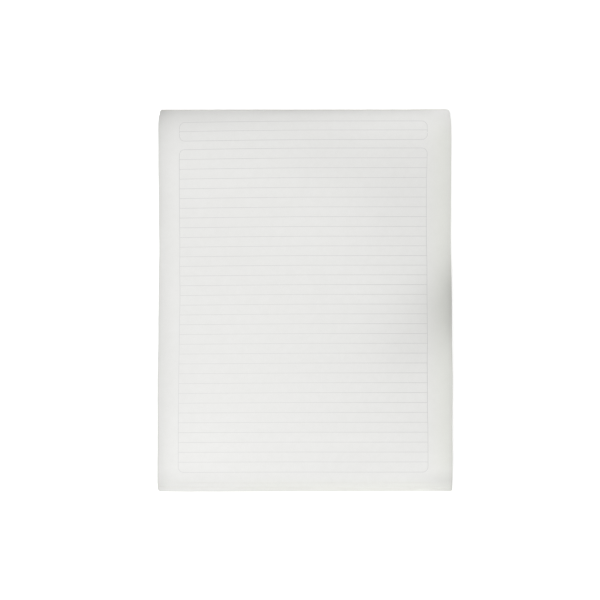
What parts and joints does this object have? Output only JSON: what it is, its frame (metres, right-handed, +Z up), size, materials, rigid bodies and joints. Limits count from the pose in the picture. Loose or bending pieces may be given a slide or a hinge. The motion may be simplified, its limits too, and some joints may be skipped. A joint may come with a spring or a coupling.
{
  "type": "writing pad",
  "caption": "Gummed ruled writing pad, letter size: ruled leaves bound along the head on a thin backing board, with a rounded head and a slightly fanned free end.",
  "frame": {"origin": "middle of the pad's footprint, on the table it lies on", "axes": "+Z up out of the ruled face, +Y towards the gummed head, +X towards a reader's right"},
  "size_m": [0.216, 0.2814, 0.0109],
  "materials": {
    "paper": "uncoated, matte, very slightly warm white",
    "chipboard": "uncoated grey board, matte",
    "gum": "dried white padding compound, satin"
  },
  "bodies": {
    "root": {"page_block": "paper", "backing_board": "chipboard", "head_gum": "gum"}
  },
  "joints": []
}
